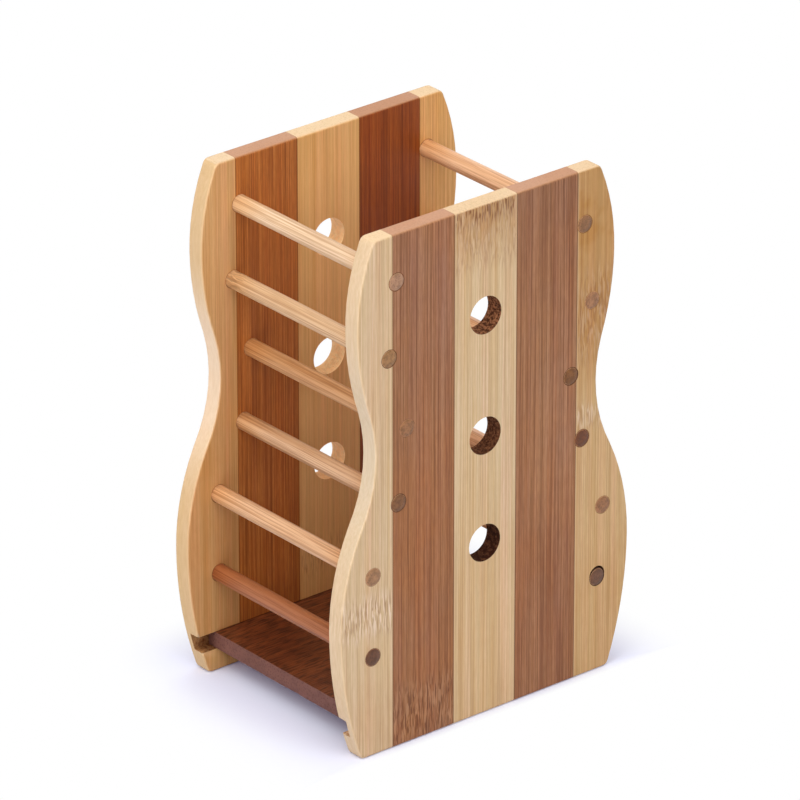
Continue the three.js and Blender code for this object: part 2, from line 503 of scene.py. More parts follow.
@dataclass(frozen=True)
class Bamboo(Finish):
    """Strips of bamboo: fine fibres over laths of three close tones, with nodes, joints and arrises."""

    tones: tuple[Colour, Colour, Colour]
    fibre: Colour
    streak: Colour
    node: Colour
    edge: Colour
    end: Colour
    joint: Colour
    # painted light: the tint multiplied over a panel's inner face, for warm light bounced round inside the
    # holder
    bounce_warmth: Colour
    drift: Colour
    dark_share: float
    pale_share: float

    WAIST_MM = 105.0
    WAIST_REACH_MM = (12.0, 46.0)
    JOINT_MM = 0.7
    INSIDE_MM = 0.9
    BROAD_LATHS = Lines(0.0, 0.24, 220.0, 1.4)
    NARROW_LATHS = Lines(1.5, 0.34, 120.0, 1.3)
    MIDDLE = Lines(3.0, 1.1, 170.0, 1.4)
    FINE = Lines(5.0, 2.0, 60.0, 1.2)
    FINEST = Lines(7.0, 2.4, 4.5)
    EDGE_GRAIN = Lines(11.0, 1.3, 5.0)
    SPECKLE_TINT = (0.7, 0.63, 0.55)
    EDGE_TINT = (0.84, 0.74, 0.6)

    def material(
        self, effects: Effects, look: StripLook, span_mm: tuple[float, float], inner_mm: float,
    ) -> Material:
        """Make one strip's material.

        Args:
            effects: The shared node groups.
            look: What is the strip's own.
            span_mm: Where its glue joints lie in depth, a side without one being far off.
            inner_mm: How far the panel's inner face is from the holder's middle.

        Returns:
            The material.
        """
        wood = Surface(self, effects, look.seed, look.node)
        bands = [(band, wood.bend(band, count)) for count, band in enumerate(look.bands)]
        colour, relief = self._fibred(wood, look)
        # Patches of another tint: staining in the wood, and one patch of painted sheen.
        for tint_patch in look.tint_patches:
            share = wood.fade(wood.off(Z, tint_patch.at_mm), tint_patch.reach_mm, 0.25 * tint_patch.reach_mm)
            cloud = wood.patches(16.0, tint_patch.at_mm, with_grain=True)
            share = wood.maths("MULTIPLY", share, wood.fade(cloud, 0.0, 1.0, 0.65, 1.0))
            colour = wood.mix(share, colour, tint_patch.tint, "MULTIPLY")
        for band, marks in bands:
            colour = wood.over(colour, self.node, marks["Mask"], 0.16 * band.strength)
            colour = wood.over(colour, self.node, marks["Dark"], band.strength)
            colour = wood.over(colour, self.streak, marks["Pale"], band.paleness)
        colour = self._joints_drift_and_bounce(wood, colour, span_mm, inner_mm)
        colour = self._sanded(wood, colour, look)
        sheen = wood.fade(wood.patches(28.0), 0.0, 1.0, self.roughness - 0.05, self.roughness + 0.07)
        wood.roughen(wood.maths("ADD", sheen, wood.maths("MULTIPLY", relief, 0.05)))
        wood.emboss(relief, depth_mm=0.06, strength=0.4)
        return wood.paint(colour)

    def _fibred(self, wood: Surface, look: StripLook) -> tuple[Output, Output]:
        """Return the colour of the laths and the fibres in them, and the relief of the fibres."""
        first, second, third = (tinted(tone, look.tint) for tone in self.tones)
        colour = wood.mix(wood.fibres(self.BROAD_LATHS), first, second)
        colour = wood.mix(wood.fibres(self.NARROW_LATHS), colour, third)
        middle, fine, finest = (wood.fibres(lines) for lines in (self.MIDDLE, self.FINE, self.FINEST))
        dark, pale = tinted(self.fibre, look.tint), tinted(self.streak, look.tint)
        dark_share, pale_share = self.dark_share * look.contrast, self.pale_share * look.contrast
        for lines, start, end, share, tone in (
            (middle, 0.45, 0.0, 0.65 * dark_share, dark),
            (middle, 0.6, 1.0, 0.7 * pale_share, pale),
            (fine, 0.5, 0.0, dark_share, dark),
            (fine, 0.6, 1.0, pale_share, pale),
        ):
            colour = wood.mix(wood.fade(lines, start, end, 0.0, share), colour, tone)
        colour = wood.over(colour, dark, finest, 0.6 * dark_share)
        relief = wood.maths("ADD", wood.maths("MULTIPLY", fine, 0.6), wood.maths("MULTIPLY", finest, 0.4))
        return colour, relief

    def _joints_drift_and_bounce(
        self, wood: Surface, colour: Source, span_mm: tuple[float, float], inner_mm: float,
    ) -> Output:
        """Colour the joints and the slow drift of tone over a panel, and paint warm bounce light onto its
        inner face.

        Args:
            wood: The material in the making.
            colour: Its colour so far.
            span_mm: Where the strip's glue joints lie in depth.
            inner_mm: How far the panel's inner face is from the holder's middle.

        Returns:
            The new colour.
        """
        low, high = span_mm
        joint = wood.apply(
            wood.effects.joint_line, Place=wood.spot, Middle=(low + high) / 2,
            Half=(high - low) / 2, Width=self.JOINT_MM,
        )["Mask"]
        colour = wood.over(colour, self.joint, joint, 0.75)
        drift = wood.maths("MULTIPLY", wood.patches(34.0, 2), 0.5)
        colour = wood.mix(drift, colour, self.drift, "MULTIPLY")
        # Painted light: the inner face is tinted warm for light bounced round inside the holder.
        inside = wood.fade(wood.off(X), inner_mm + self.INSIDE_MM, inner_mm)
        return wood.mix(inside, colour, self.bounce_warmth, "MULTIPLY")

    def _sanded(self, wood: Surface, colour: Source, look: StripLook) -> Output:
        """Colour the cut ends, the wavy edge and the arrises, and return the new colour."""
        kinds = wood.apply(wood.effects.faces)
        speckle = wood.over(self.end, tinted(self.end, self.SPECKLE_TINT), wood.dots(0.8), 0.4)
        colour = wood.over(colour, speckle, kinds["End"], 0.8)
        grain = wood.fibres(self.EDGE_GRAIN)
        cream = wood.over(self.edge, tinted(self.edge, self.EDGE_TINT), grain, 0.4)
        bulging = wood.fade(wood.off(Z, self.WAIST_MM), *self.WAIST_REACH_MM)
        cream = wood.mix(1.0, cream, wood.mix(bulging, look.waist_tint, look.bulge_tint), "MULTIPLY")
        colour = wood.over(colour, cream, kinds["Profile"], 0.7)
        return wood.over(colour, self.edge, kinds["Arris"], 0.3)


@dataclass(frozen=True)
class BoreWall(Finish):
    """The wall of a hole or a groove, with torn fibre, browned by the tool or by old glue, and darker towards
    one end of an axis: deeper into a bore or a groove this is painted shade, and down the finger holes the
    walls only grow darker towards the bottom.
    """

    wood: Colour
    dark_tone: Colour
    axis: int
    darkest_mm: float
    palest_mm: float
    chipping: float = 0.3

    FIBRES = Lines(9.0, 1.6, 1.4)
    FIBRE_TINT = (1.6, 1.4, 1.2)

    def material(self, effects: Effects) -> Material:
        """Make the material, from the shared node groups."""
        wood = Surface(self, effects, 0.0)
        patches, chips = wood.patches(1.4, 4.0), wood.patches(0.8, 5.0)
        fine = wood.fibres(self.FIBRES)
        # The dark tone thickens towards one end of the axis: deeper into a bore or a groove this is painted
        # shade; down the finger holes the walls only grow darker towards the bottom.
        share = wood.fade(wood.off(self.axis), self.darkest_mm, self.palest_mm, 0.95, 0.2)
        spots = wood.maths("MULTIPLY", patches, 0.35)
        darkening = wood.maths("ADD", wood.maths("MULTIPLY", share, 0.8), spots)
        colour = wood.mix(darkening, self.wood, self.dark_tone)
        colour = wood.over(colour, tinted(self.dark_tone, self.FIBRE_TINT), fine, 0.4)
        chipped = wood.maths("MULTIPLY", wood.maths("SUBTRACT", 1.0, share), self.chipping)
        colour = wood.mix(wood.fade(chips, 0.5, 0.9, 0.0, chipped), colour, self.dark_tone)
        colour = wood.mix(wood.fade(chips, 0.4, 0.0, 0.0, chipped), colour, self.wood)
        wood.emboss(wood.maths("ADD", fine, patches), depth_mm=0.25, strength=0.6)
        return wood.paint(colour)


@dataclass(frozen=True)
class Dowel(Finish):
    """A round bamboo rung, with fibres along it and a sanded end in each panel."""

    END_TINT = (0.95, 0.84, 0.68)
    END_MM = (18.0, 34.0)
    BROAD = Lines(0.0, 0.4, 160.0, 1.3)
    FINE = Lines(2.0, 1.5, 70.0, 1.3)
    FINEST = Lines(4.0, 2.4, 22.0, 1.3)

    def material(self, effects: Effects, look: RungLook) -> Material:
        """Make the material of a rung's round side.

        Args:
            effects: The shared node groups.
            look: What is the rung's own.

        Returns:
            The material.
        """
        wood = Surface(self, effects, look.seed, look.node)
        bands = [(band, wood.bend(band)) for band in look.bands]
        broad, fine, finest = (wood.fibres(lines) for lines in (self.BROAD, self.FINE, self.FINEST))
        dull, bright = tinted(look.body, (0.9, 0.82, 0.72)), tinted(look.body, (1.1, 1.13, 1.18))
        colour = wood.mix(broad, dull, bright)
        for lines, start, end, share, tint in (
            (fine, 0.5, 0.0, 0.5, (1.2, 1.28, 1.4)),
            (fine, 0.55, 1.0, 0.7, (0.62, 0.47, 0.34)),
            (finest, 0.55, 1.0, 0.5, (0.62, 0.5, 0.4)),
        ):
            colour = wood.mix(wood.fade(lines, start, end, 0.0, share), colour, tinted(look.body, tint))
        colour = wood.mix(wood.fade(wood.off(X), *self.END_MM), colour, self.END_TINT, "MULTIPLY")
        for band, marks in bands:
            colour = wood.over(colour, tinted(look.body, (0.4, 0.3, 0.22)), marks["Dark"], band.strength)
        wood.emboss(wood.maths("ADD", fine, broad), depth_mm=0.08, strength=0.4)
        return wood.paint(colour)

    def end_material(self, effects: Effects, look: RungLook) -> Material:
        """Make the material of a rung's two sanded ends.

        Args:
            effects: The shared node groups.
            look: What is the rung's own.

        Returns:
            The material.
        """
        wood = Surface(self, effects, look.seed, "end", look.node)
        dots = wood.dots(0.75)
        dull, bright = tinted(look.end, (0.84, 0.82, 0.8)), tinted(look.end, (1.22, 1.22, 1.22))
        colour = wood.mix(wood.patches(1.6), dull, bright)
        colour = wood.over(colour, tinted(look.end, (0.55, 0.5, 0.46)), dots, 0.55)
        wood.emboss(dots, depth_mm=0.04, strength=0.4)
        return wood.paint(colour)


@dataclass(frozen=True)
class GlueLine(Finish):
    """Glue and wood dust, packed round a rung's end."""

    def material(self, effects: Effects, look: RungLook, side: int) -> Material:
        """Make the material of the glue round one end.

        Args:
            effects: The shared node groups.
            look: What is the rung's own.
            side: RIGHT or LEFT.

        Returns:
            The material.
        """
        wood = Surface(self, effects, look.seed, look.node, SIDE_NAMES[side])
        glue = look.glue if side == RIGHT else look.inner_glue
        dull, bright = tinted(glue, (0.75, 0.72, 0.7)), tinted(glue, (1.3, 1.25, 1.2))
        return wood.paint(wood.mix(wood.patches(1.6), dull, bright))


@dataclass(frozen=True)
class DarkBoard(Finish):
    """The base board: dark bamboo with an oiled, glossy top and matt sawn ends."""

    top: Colour = srgb(92, 45, 25)
    line: Colour = srgb(42, 18, 10)
    glow: Colour = srgb(128, 68, 36)
    sawn: Colour = srgb(111, 68, 54)
    sawn_right: Colour = srgb(114, 73, 63)

    BROAD = Lines(2.0, 0.3, 50.0)
    FINE = Lines(6.0, 1.3, 6.0, 1.2)
    RIGHTWARD_MM = (-25.0, 30.0)
    SAWN_ROUGHNESS = 0.75

    def material(self, effects: Effects) -> Material:
        """Make the material, from the shared node groups."""
        wood = Surface(self, effects, 0.0)
        broad, fine = wood.fibres(self.BROAD), wood.fibres(self.FINE)
        dots = wood.dots(0.9, 3.0)
        normal = wood.split(wood.node("ShaderNodeNewGeometry").outputs["Normal"])
        sawn_end = wood.fade(wood.maths("ABSOLUTE", normal[Y]), 0.5, 0.85)
        colour = wood.mix(broad, self.top, self.glow)
        colour = wood.mix(wood.fade(fine, 0.3, 1.0, 0.0, 0.85), colour, self.line)
        rightward = wood.fade(wood.split(wood.spot)[X], *self.RIGHTWARD_MM)
        rough = wood.mix(rightward, self.sawn, self.sawn_right)
        rough = wood.over(rough, tinted(self.sawn, (0.62, 0.56, 0.62)), wood.patches(3.5, 7.0), 0.5)
        rough = wood.over(rough, tinted(self.sawn_right, (1.3, 1.25, 1.2)), wood.patches(12.0, 8.0), 0.3)
        rough = wood.over(rough, tinted(self.sawn, (0.5, 0.42, 0.42)), dots, 0.7)
        gloss = wood.maths("ADD", self.roughness, wood.maths("MULTIPLY", fine, 0.12))
        wood.roughen(wood.fade(sawn_end, 0.0, 1.0, gloss, self.SAWN_ROUGHNESS))
        wood.emboss(wood.maths("ADD", fine, dots), depth_mm=0.08, strength=0.35)
        return wood.paint(wood.mix(sawn_end, colour, rough))


LIGHT = Bamboo(
    name="light_bamboo",
    grain=Grain.UPRIGHT,
    roughness=0.5,
    shine=0.28,
    tones=(srgb(217, 180, 146), srgb(205, 169, 119), srgb(206, 178, 137)),
    fibre=srgb(170, 130, 90),
    streak=srgb(228, 202, 172),
    node=srgb(132, 84, 46),
    edge=srgb(229, 199, 160),
    end=srgb(224, 194, 154),
    joint=srgb(200, 164, 122),
    bounce_warmth=(1.16, 0.9, 0.56),
    drift=(0.97, 1.0, 1.05),
    dark_share=0.37,
    pale_share=0.46,
)
DARK = Bamboo(
    name="dark_bamboo",
    grain=Grain.UPRIGHT,
    roughness=0.48,
    shine=0.22,
    tones=(srgb(166, 104, 61), srgb(154, 100, 67), srgb(161, 107, 64)),
    fibre=srgb(106, 60, 32),
    streak=srgb(186, 134, 92),
    node=srgb(98, 54, 30),
    edge=srgb(188, 140, 102),
    end=srgb(190, 140, 106),
    joint=srgb(108, 74, 42),
    bounce_warmth=(1.46, 1.03, 0.5),
    drift=(0.9, 1.0, 1.25),
    dark_share=0.53,
    pale_share=0.44,
)
DOWEL = Dowel(name="rung_wood", grain=Grain.ALONG_RUNG, roughness=0.42, shine=0.35)
GLUE = GlueLine(name="glue_line", grain=Grain.ALONG_RUNG, roughness=0.6, shine=0.2)
BOARD = DarkBoard(name="base_wood", grain=Grain.FRONT_TO_BACK, roughness=0.28, shine=0.4)
# The bores and the grooves darken deeper in: painted shade over the glue's brown.
GLUED_AND_SHADED_BORE = BoreWall(
    "glued_bore", Grain.UPRIGHT, 0.85, 0.1, srgb(132, 88, 58), srgb(58, 34, 22),
    axis=X, darkest_mm=39.0, palest_mm=42.5,
)
GROOVES = {
    RIGHT: BoreWall(
        "torn_groove", Grain.UPRIGHT, 0.85, 0.1, srgb(240, 206, 166), srgb(168, 122, 82),
        axis=Y, darkest_mm=44.0, palest_mm=51.0,
    ),
    LEFT: BoreWall(
        "glued_groove", Grain.UPRIGHT, 0.85, 0.1, srgb(226, 172, 112), srgb(104, 60, 30),
        axis=Y, darkest_mm=49.5, palest_mm=56.0,
    ),
}
FINGER_HOLES = {
    RIGHT: BoreWall(
        "browned_hole", Grain.UPRIGHT, 0.85, 0.1, srgb(178, 118, 80), srgb(52, 25, 14),
        axis=Z, darkest_mm=62.0, palest_mm=148.0, chipping=1.0,
    ),
    LEFT: BoreWall(
        "clean_hole", Grain.UPRIGHT, 0.7, 0.15, srgb(254, 220, 166), srgb(220, 168, 116),
        axis=Z, darkest_mm=20.0, palest_mm=100.0, chipping=0.0,
    ),
}


def put(name: str, data: bpy.types.ID) -> Piece:
    """Add an object with its data to the scene, and return it."""
    made = bpy.data.objects.new(name, data)
    bpy.context.scene.collection.objects.link(made)
    return made


def put_shape(name: str, shape: Shape) -> Piece:
    """Turn a shape, which is used up, into an object in the scene, and return it."""
    mesh = bpy.data.meshes.new(name)
    shape.to_mesh(mesh)
    shape.free()
    return put(name, mesh)


def mesh_object(name: str, shape: Shape, slot: str | None, *materials: Material) -> Piece:
    """Turn a finished shape into a piece that rides on the holder.

    Args:
        name: The piece's name.
        shape: Its mesh, which is used up.
        slot: The record's material slot, or None for what has none there. It is not used.
        *materials: The piece's materials.

    Returns:
        The piece.
    """
    piece = put_shape(name, shape)
    for material in materials:
        piece.data.materials.append(material)
    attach(piece, BODY)
    return piece


def loft(outlines: list[list[Vector]], round_again: bool = False) -> Shape:
    """Skin a row of outlines.

    Args:
        outlines: The outlines, each with as many points.
        round_again: Whether the last outline goes over into the first. If not, both are closed by a face.

    Returns:
        The closed shape.
    """
    shape = bmesh.new()
    rings = [[shape.verts.new(point) for point in outline] for outline in outlines]
    for first, second in zip(rings, rings[1:] + rings[:1] if round_again else rings[1:]):
        for i, corner in enumerate(first):
            j = (i + 1) % len(first)
            shape.faces.new((corner, second[i], second[j], first[j]))
    if not round_again:
        shape.faces.new(rings[0])
        shape.faces.new(rings[-1][::-1])
    bmesh.ops.recalc_face_normals(shape, faces=shape.faces)
    return shape


def shade_smooth(piece: Piece, sharpest_degrees: float) -> None:
    """Smooth a piece's shading, except across edges sharper than this, and keep its flats flat."""
    piece.data.polygons.foreach_set("use_smooth", [True] * len(piece.data.polygons))
    piece.data.set_sharp_from_angle(angle=math.radians(sharpest_degrees))
    keep_flat = piece.modifiers.new("flats stay flat", "WEIGHTED_NORMAL")
    keep_flat.keep_sharp = True


@dataclass
class Hole:
    """A drilled hole's centre line, in the plane of the panels, and its radius."""

    depth: float
    height: float
    radius: float = 0.0

    def distance(self, point: Vector) -> float:
        """Return how far a point is from the centre line."""
        return math.hypot(point.y - self.depth, point.z - self.height)


class Wall(Enum):
    """What is cut into a panel, as the material slot of its walls, 0 being the strip's own."""

    FINGER_HOLE = 1
    GROOVE = 2
    RUNG_BORE = 3


@dataclass
class SidePanel:
    """One wavy panel: five strips, sanded flush, with eased finger holes and worn groove mouths."""

    side: int
    looks: tuple[StripLook, ...]
    holes: list[Hole]
    bores: list[Hole]
    walls: dict[Wall, Material]
    mouth_wear: tuple[float, float]
    board: str = "base_board"
    rim_ease: float = 0.35 * MM
    weld: float = 1e-7
    near: float = 0.02 * MM
    groove_play: float = 0.6 * MM
    flat_degrees: float = 0.3
    sharp_degrees: float = 38.0
    steepest_across: float = 0.3
    steepest_ahead: float = 0.5
    far_mm: float = 500.0

    @property
    def name(self) -> str:
        """Return right or left."""
        return SIDE_NAMES[self.side]

    def build(self, effects: Effects) -> list[Piece]:
        """Build and dress the five strips, and return them."""
        return [self._strip(look, effects) for look in self.looks]

    def _strip(self, look: StripLook, effects: Effects) -> Piece:
        """Build one strip over its node, with its materials."""
        node = f"{self.name}_{look.node}"
        low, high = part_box(node)
        finish = DARK if "dark" in look.node else LIGHT
        inner_mm = min(abs(low.x), abs(high.x)) / MM
        span_mm = (
            low.y / MM if look.node != "front_edge_strip" else high.y / MM - self.far_mm,
            high.y / MM if look.node != "rear_edge_strip" else low.y / MM + self.far_mm,
        )
        materials = (finish.material(effects, look, span_mm, inner_mm), *(self.walls[wall] for wall in Wall))
        piece = mesh_object(f"{node}_sanded", self._eased(node), finish.name, *materials)
        self._mark_walls(piece.data, inner_mm * MM)
        shade_smooth(piece, self.sharp_degrees)
        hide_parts(node)
        return piece

    def _eased(self, node: str) -> Shape:
        """Copy a node's shape, joined into whole faces, and wear the rims of its holes and its groove."""
        shape = bmesh.new()
        shape.from_mesh(bpy.data.objects[node].data)
        bmesh.ops.remove_doubles(shape, verts=shape.verts, dist=self.weld)
        bmesh.ops.dissolve_limit(
            shape, angle_limit=math.radians(self.flat_degrees), verts=shape.verts, edges=shape.edges,
        )
        self._wear(shape, [edge for edge in shape.edges if self._is_rim(edge)], self.rim_ease)
        _, roof = self._groove_heights()
        for wear, ahead in zip(self.mouth_wear, (-1, 1)):
            lip = [edge for edge in shape.edges if self._is_lip(edge, roof, ahead)]
            self._wear(shape, lip, wear)
        bmesh.ops.remove_doubles(shape, verts=shape.verts, dist=self.weld)
        return shape

    @staticmethod
    def _wear(shape: Shape, edges: list[Edge], width: float) -> None:
        """Round some edges by a width."""
        if edges:
            bmesh.ops.bevel(
                shape, geom=edges, offset=width, segments=2, profile=0.5, affect="EDGES",
                offset_type="OFFSET", clamp_overlap=True,
            )

    def _groove_heights(self) -> tuple[float, float]:
        """Return the heights of the groove's floor and roof, as its end of the board lies in it."""
        low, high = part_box(self.board)
        corners = (v.co for v in bpy.data.objects[f"{self.name}_centre_strip"].data.vertices)
        roof = min(c.z for c in corners if c.z > high.z + self.near)
        return low.z, roof

    def _is_rim(self, edge: Edge) -> bool:
        """Tell whether an edge is where a finger hole meets a wide face."""
        first, second = (v.co for v in edge.verts)
        level = abs(first.x - second.x) < self.weld
        return level and any(
            all(abs(hole.distance(end) - hole.radius) < self.near for end in (first, second))
            for hole in self.holes
        )

    def _is_lip(self, edge: Edge, height: float, ahead: int) -> bool:
        """Tell whether an edge is where the groove's roof meets the front or the rear of the wave."""
        first, second = (v.co for v in edge.verts)
        level = abs(first.z - height) < self.near and abs(second.z - height) < self.near
        outside = min(first.y * ahead, second.y * ahead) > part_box(self.board)[1].y
        return level and outside and abs(first.x - second.x) > abs(first.y - second.y)

    def _mark_walls(self, mesh: bpy.types.Mesh, inner: float) -> None:
        """Give the walls of the finger holes, of the rungs' bores and of the groove their own materials."""
        floor, roof = self._groove_heights()
        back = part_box(self.board)[1].x + self.groove_play
        drilled = ((self.holes, Wall.FINGER_HOLE), (self.bores, Wall.RUNG_BORE))
        for face in mesh.polygons:
            centre, normal = face.center, face.normal
            for holes, wall in drilled:
                within = any(hole.distance(centre) < hole.radius + self.near for hole in holes)
                if within and abs(normal.x) < self.steepest_across:
                    face.material_index = wall.value
            between = floor - self.near < centre.z < roof + self.near
            sunk = inner + self.near < abs(centre.x) < back
            if between and sunk and abs(normal.y) < self.steepest_ahead:
                face.material_index = Wall.GROOVE.value


@dataclass
class Ladder:
    """The rungs at the front or the rear, with the glue round their ends."""

    looks: tuple[RungLook, ...]
    panel_thickness: float
    sides: int = 48
    ring_step: float = 2.0 * MM
    end_ease: float = 0.12 * MM
    end_core: float = 0.45
    end_facing: float = 0.9
    flats: int = 5
    flatness: float = 0.035 * MM
    wobble: float = 0.05 * MM
    wobble_length: float = 18 * MM
    glue_width: float = 0.25 * MM
    glue_sunk: float = 0.05 * MM
    glue_sides: int = 32
    sharp_degrees: float = 50.0

    def build(self, effects: Effects) -> list[Piece]:
        """Build and dress the rungs and their glue, and return the rungs and then the rings of glue."""
        rungs = [self._rung(look, effects) for look in self.looks]
        rings = [self._glue_ring(look, side, effects) for look in self.looks for side in (LEFT, RIGHT)]
        return rungs + rings

    def _rung(self, look: RungLook, effects: Effects) -> Piece:
        """Build one rung over its node, with its two materials."""
        materials = DOWEL.material(effects, look), DOWEL.end_material(effects, look)
        piece = mesh_object(f"{look.node}_dowel", self._turned(look), DOWEL.name, *materials)
        for face in piece.data.polygons:
            face.material_index = int(abs(face.normal.x) > self.end_facing)
        shade_smooth(piece, self.sharp_degrees)
        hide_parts(look.node)
        return piece

    def _turned(self, look: RungLook) -> Shape:
        """Make a rung's shape: nearly round, with faint flats, eased rims and flat sanded ends."""
        low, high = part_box(look.node)
        centre, radius, half = (low + high) / 2, (high.z - low.z) / 2, (high.x - low.x) / 2
        inner = half - self.end_ease
        core, rim = radius * self.end_core, radius - self.end_ease
        steps = round(2 * inner / self.ring_step)
        stations = [(-half, core), (-half, rim)]
        stations += [(-inner + 2 * inner * i / steps, radius) for i in range(steps + 1)]
        stations += [(half, rim), (half, core)]
        return loft([
            [centre + self._on_rung(along, out, i, look.seed) for i in range(self.sides)]
            for along, out in stations
        ])

    def _on_rung(self, along: float, out: float, count: int, seed: float) -> Vector:
        """Find a point of a rung's surface, a little off the true cylinder.

        Args:
            along: How far along the rung from its middle.
            out: How far out from its centre line.
            count: Which of the ring's points this is.
            seed: What sets this rung apart.

        Returns:
            The point, seen from the rung's middle.
        """
        angle = 2 * math.pi * count / self.sides
        flats = self.flatness * math.cos(self.flats * angle + seed)
        spot = Vector((math.cos(angle), math.sin(angle), along / self.wobble_length + seed))
        reach = out + flats + self.wobble * noise.noise(spot)
        return Vector((along, reach * math.cos(angle), reach * math.sin(angle)))

    def _glue_ring(self, look: RungLook, side: int, effects: Effects) -> Piece:
        """Build and dress the glue round a rung inside one panel."""
        low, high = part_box(look.node)
        centre, radius = (low + high) / 2, (high.z - low.z) / 2
        outer_face = high.x - self.glue_sunk
        inner_face = high.x - self.panel_thickness + self.glue_sunk
        within, without = radius - self.glue_width / 2, radius + self.glue_width
        angles = [2 * math.pi * i / self.glue_sides for i in range(self.glue_sides)]
        middle = Vector((0, centre.y, centre.z))
        shape = loft([
            [middle + Vector((side * along, out * math.cos(a), out * math.sin(a))) for a in angles]
            for along, out in (
                (inner_face, within), (inner_face, without), (outer_face, without), (outer_face, within),
            )
        ], round_again=True)
        material = GLUE.material(effects, look, side)
        piece = mesh_object(f"{look.node}_glue_{SIDE_NAMES[side]}", shape, None, material)
        shade_smooth(piece, self.sharp_degrees)
        return piece


@dataclass
class BaseBoard:
    """The board between the panels, with eased top edges and torn lower ones."""

    node: str = "base_board"
    step: float = 0.8 * MM
    ease: float = 0.3 * MM
    tear: float = 0.55 * MM
    rounding: float = 0.3
    sharp_degrees: float = 40.0

    def build(self, effects: Effects) -> Piece:
        """Build and dress the board, and return it."""
        low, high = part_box(self.node)
        steps = round((high.x - low.x) / self.step)
        places = (low.x + (high.x - low.x) * i / steps for i in range(steps + 1))
        shape = loft([self._section(across, low, high) for across in places])
        piece = mesh_object(f"{self.node}_planed", shape, BOARD.name, BOARD.material(effects))
        shade_smooth(piece, self.sharp_degrees)
        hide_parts(self.node)
        return piece

    def _section(self, across: float, low: Vector, high: Vector) -> list[Vector]:
        """Return the board's section at one place across it, from front to rear and back underneath."""

        def ragged(length_mm: float, amount: float, which: float) -> float:
            return amount * max(0.0, noise.noise(Vector((across / (length_mm * MM), which, 0.0))))

        chip = ragged(2.2, self.tear, 1.0) + ragged(9.0, self.tear, 5.0)
        nick = ragged(3.0, self.ease, 2.0)
        ease, bit = self.ease, self.rounding * self.ease
        outline = [
            (low.y + chip * 0.6 + ease, low.z),
            (low.y + chip * 0.25, low.z + ease + chip),
            (low.y, (low.z + high.z) / 2),
            (low.y, high.z - ease - nick),
            (low.y + bit, high.z - bit - 0.5 * nick),
            (low.y + ease + nick, high.z),
            (high.y - ease, high.z),
            (high.y - bit, high.z - bit),
            (high.y, high.z - ease),
            (high.y, low.z + ease + chip),
            (high.y - ease - chip, low.z),
        ]
        return [Vector((across, y, z)) for y, z in outline]


def direction(azimuth: float, elevation: float) -> Vector:
    """Return the direction from the holder to something at an azimuth and an elevation, in degrees."""
    a, e = math.radians(azimuth), math.radians(elevation)
    return Vector((math.sin(a) * math.cos(e), -math.cos(a) * math.cos(e), math.sin(e)))


@dataclass
class SoftBox:
    """A square lamp that looks at the holder."""

    name: str
    azimuth: float
    elevation: float
    distance: float
    width: float
    level: float
    colour: Colour = WHITE

    def hang(self, target: Vector) -> None:
        """Make the lamp.

        Args:
            target: What it looks at. There it lights a white card that faces it to its level, 1 being white.
        """
        lamp = bpy.data.lights.new(self.name, "AREA")
        lamp.size = self.width
        lamp.color = self.colour
        lamp.energy = self.level * (math.pi * self.distance) ** 2
        holder = put(self.name, lamp)
        towards = direction(self.azimuth, self.elevation)
        holder.location = target + towards * self.distance
        holder.rotation_euler = towards.to_track_quat("Z", "Y").to_euler()


